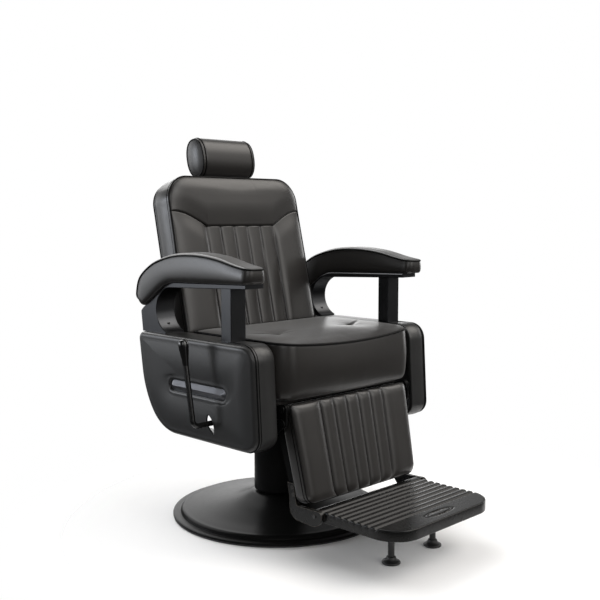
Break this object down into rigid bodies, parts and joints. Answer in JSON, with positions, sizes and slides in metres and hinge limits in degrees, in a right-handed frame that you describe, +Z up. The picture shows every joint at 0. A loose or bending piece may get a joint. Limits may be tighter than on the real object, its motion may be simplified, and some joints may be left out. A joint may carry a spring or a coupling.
{
  "type": "barber chair",
  "caption": "Barber chair with a padded seat, channelled reclining back, sliding headrest, padded arms and a folding foot plate on a swivelling pump column and round base.",
  "frame": {"origin": "on the floor at the axis of the column, the centre of the floor plate's underside", "axes": "+Z up the column, the sitter faces -Y, +X is the sitter's left"},
  "size_m": [0.8145, 0.927, 1.1007],
  "materials": {
    "padded_vinyl": "black vinyl-coated cloth over foam, fine grain, semi-gloss",
    "vinyl_shell": "black faux leather over a moulded shell, fine grain, semi-gloss",
    "black_powder_coat": "satin black powder coat on steel",
    "dark_cast_aluminium": "satin dark grey coat on cast aluminium",
    "black_cast_aluminium": "satin black coat on cast aluminium",
    "bright_steel": "ground steel",
    "trim_steel": "dark satin plated steel",
    "black_lever_steel": "gloss black paint on steel",
    "black_rubber": "moulded black rubber",
    "moulded_nylon": "moulded nylon",
    "gloss_grip": "moulded gloss black plastic",
    "plywood": "black-stained birch plywood"
  },
  "bodies": {
    "base": {"base_shell": "black_powder_coat", "base_edge_ring": "black_rubber", "base_floor_plate": "black_powder_coat", "base_socket": "black_powder_coat", "base_bush": "moulded_nylon", "base_thrust_washer": "moulded_nylon", "base_bolts": "bright_steel"},
    "ram": {"ram": "bright_steel"},
    "seat_unit": {"pump_housing": "black_powder_coat", "pump_gland": "black_powder_coat", "pump_plate": "black_powder_coat", "pump_bolts": "bright_steel", "pedal_bracket": "black_powder_coat", "pedal_pin": "bright_steel", "seat_frame": "black_powder_coat", "seat_board": "plywood", "seat_cushion": "padded_vinyl", "strut_front_pin": "bright_steel", "strut_cylinder": "black_powder_coat", "legrest_pins": "black_lever_steel", "side_panel_left": "vinyl_shell", "side_panel_right": "vinyl_shell", "side_trim_left": "trim_steel", "side_trim_right": "trim_steel", "arm_frame_left": "dark_cast_aluminium", "arm_frame_right": "dark_cast_aluminium", "arm_post_left": "dark_cast_aluminium", "arm_post_right": "dark_cast_aluminium", "arm_pad_left": "padded_vinyl", "arm_pad_right": "padded_vinyl", "arm_bolts": "bright_steel", "panel_bolts": "bright_steel", "lever_bush": "moulded_nylon"},
    "backrest": {"back_frame": "black_powder_coat", "back_board": "plywood", "back_cushion": "padded_vinyl", "back_cover": "vinyl_shell", "headrest_guide": "moulded_nylon"},
    "headrest": {"headrest_pad": "padded_vinyl", "headrest_plate": "black_powder_coat", "headrest_bar": "bright_steel"},
    "legrest": {"legrest_frame": "black_powder_coat", "legrest_board": "plywood", "calf_pad": "padded_vinyl", "hinge_ear_left": "black_cast_aluminium", "hinge_ear_right": "black_cast_aluminium", "ear_bolts": "black_lever_steel", "foot_pins": "black_lever_steel"},
    "footplate": {"foot_plate": "black_cast_aluminium", "foot_stems": "black_lever_steel", "rubber_feet": "black_rubber"},
    "push_link_left": {"push_link_left": "black_powder_coat"},
    "push_link_right": {"push_link_right": "black_powder_coat"},
    "strut_rod": {"strut_rod": "bright_steel"},
    "lever": {"lever_rod": "black_lever_steel", "lever_grip": "gloss_grip"},
    "pedal": {"pedal_lever": "black_powder_coat", "pedal_pad": "black_rubber"}
  },
  "joints": [
    {"name": "swivel", "type": "hinge", "parent": "base", "child": "ram", "pos_m": [0, 0, 0], "axis": [0, 0, 1], "continuous": true},
    {"name": "pump_lift", "type": "slide", "parent": "ram", "child": "seat_unit", "axis": [0, 0, 1], "range_m": [0, 0.15]},
    {"name": "recline", "type": "hinge", "parent": "seat_unit", "child": "backrest", "pos_m": [0, 0.15, 0.43], "axis": [-1, 0, 0], "range_deg": [0, 45]},
    {"name": "headrest_slide", "type": "slide", "parent": "backrest", "child": "headrest", "axis": [0, 0.2164, 0.9763], "range_m": [0, 0.09]},
    {"name": "legrest_swing", "type": "hinge", "parent": "seat_unit", "child": "legrest", "pos_m": [0, -0.274, 0.382], "axis": [-1, 0, 0], "range_deg": [0, 45]},
    {"name": "footplate_fold", "type": "hinge", "parent": "legrest", "child": "footplate", "pos_m": [0, -0.356, 0.117], "axis": [-1, 0, 0], "range_deg": [0, 80]},
    {"name": "link_left_pivot", "type": "hinge", "parent": "backrest", "child": "push_link_left", "pos_m": [0.252, 0.15, 0.394], "axis": [-1, 0, 0], "range_deg": [-45, 0]},
    {"name": "link_right_pivot", "type": "hinge", "parent": "backrest", "child": "push_link_right", "pos_m": [-0.252, 0.15, 0.394], "axis": [-1, 0, 0], "range_deg": [-45, 0]},
    {"name": "strut_stroke", "type": "slide", "parent": "seat_unit", "child": "strut_rod", "axis": [0, -1, 0], "range_m": [0, 0.07281]},
    {"name": "lever_pull", "type": "hinge", "parent": "seat_unit", "child": "lever", "pos_m": [-0.238, -0.11, 0.337], "axis": [-1, 0, 0], "range_deg": [0, 20], "stiffness_Nm_per_rad": 6, "springref_deg": -8.59},
    {"name": "pedal_press", "type": "hinge", "parent": "seat_unit", "child": "pedal", "pos_m": [0.098, 0, 0.17], "axis": [0, 1, 0], "range_deg": [0, 18], "stiffness_Nm_per_rad": 30, "springref_deg": -14.32}
  ],
  "couplings": [
    {"joint": "legrest_swing", "follows": "recline", "ratio": 1},
    {"joint": "link_left_pivot", "follows": "recline", "ratio": -1},
    {"joint": "link_right_pivot", "follows": "recline", "ratio": -1},
    {"joint": "strut_stroke", "follows": "recline", "m_per_rad": 0.092577}
  ]
}
